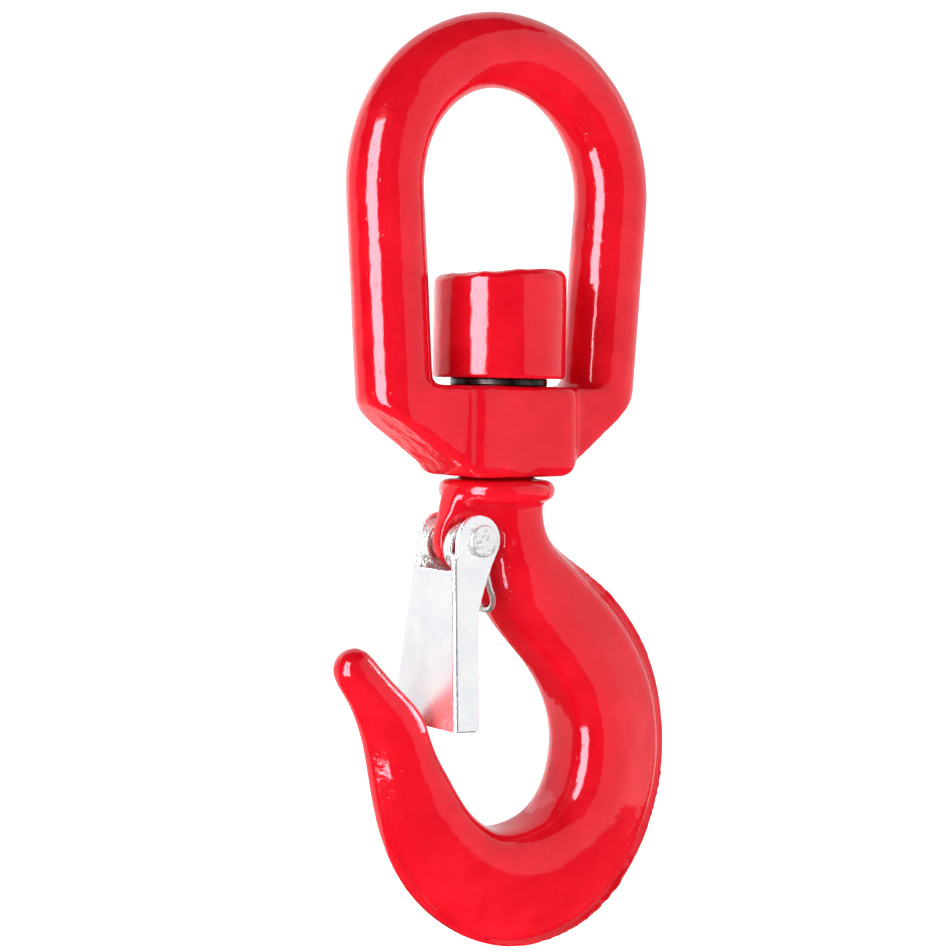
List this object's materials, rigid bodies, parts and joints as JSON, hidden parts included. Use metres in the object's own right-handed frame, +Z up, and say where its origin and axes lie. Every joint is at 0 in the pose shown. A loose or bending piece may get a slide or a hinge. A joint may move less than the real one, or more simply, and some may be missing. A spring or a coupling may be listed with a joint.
{
  "type": "swivel hook",
  "caption": "Forged rigging hook with a sprung safety latch, turning freely under an oval bail on a nutted shank.",
  "frame": {"origin": "lowest point of the inside of the bail's crown, where the part hangs", "axes": "+Z up along the swivel axis; +X in the plane of bail and hook, towards the back of the hook, so the point is at -X; +Y across the hook"},
  "size_m": [0.1035, 0.0342, 0.2413],
  "materials": {
    "red_enamel": "glossy red enamel over forged steel",
    "dark_washer_steel": "dark oiled steel",
    "zinc_sheet": "bright zinc-plated sheet steel",
    "zinc_rivet": "bright zinc-plated rivet, hammered end",
    "spring_wire": "bright plated spring wire"
  },
  "bodies": {
    "bail": {"bail": "red_enamel", "thrust_washer": "dark_washer_steel"},
    "hook": {"hook": "red_enamel", "swivel_nut": "red_enamel", "nut_lock_pin": "red_enamel", "latch_spring": "spring_wire"},
    "latch": {"safety_latch": "zinc_sheet", "latch_rivet": "zinc_rivet"}
  },
  "joints": [
    {"name": "swivel", "type": "hinge", "parent": "bail", "child": "hook", "pos_m": [0, 0, -0.0881], "axis": [0, 0, 1], "continuous": true},
    {"name": "latch_hinge", "type": "hinge", "parent": "hook", "child": "latch", "pos_m": [-0.011, 0, -0.1156], "axis": [0, -1, 0], "range_deg": [0, 40], "stiffness_Nm_per_rad": 0.1, "springref_deg": -40, "deforming": ["latch_spring"]}
  ]
}
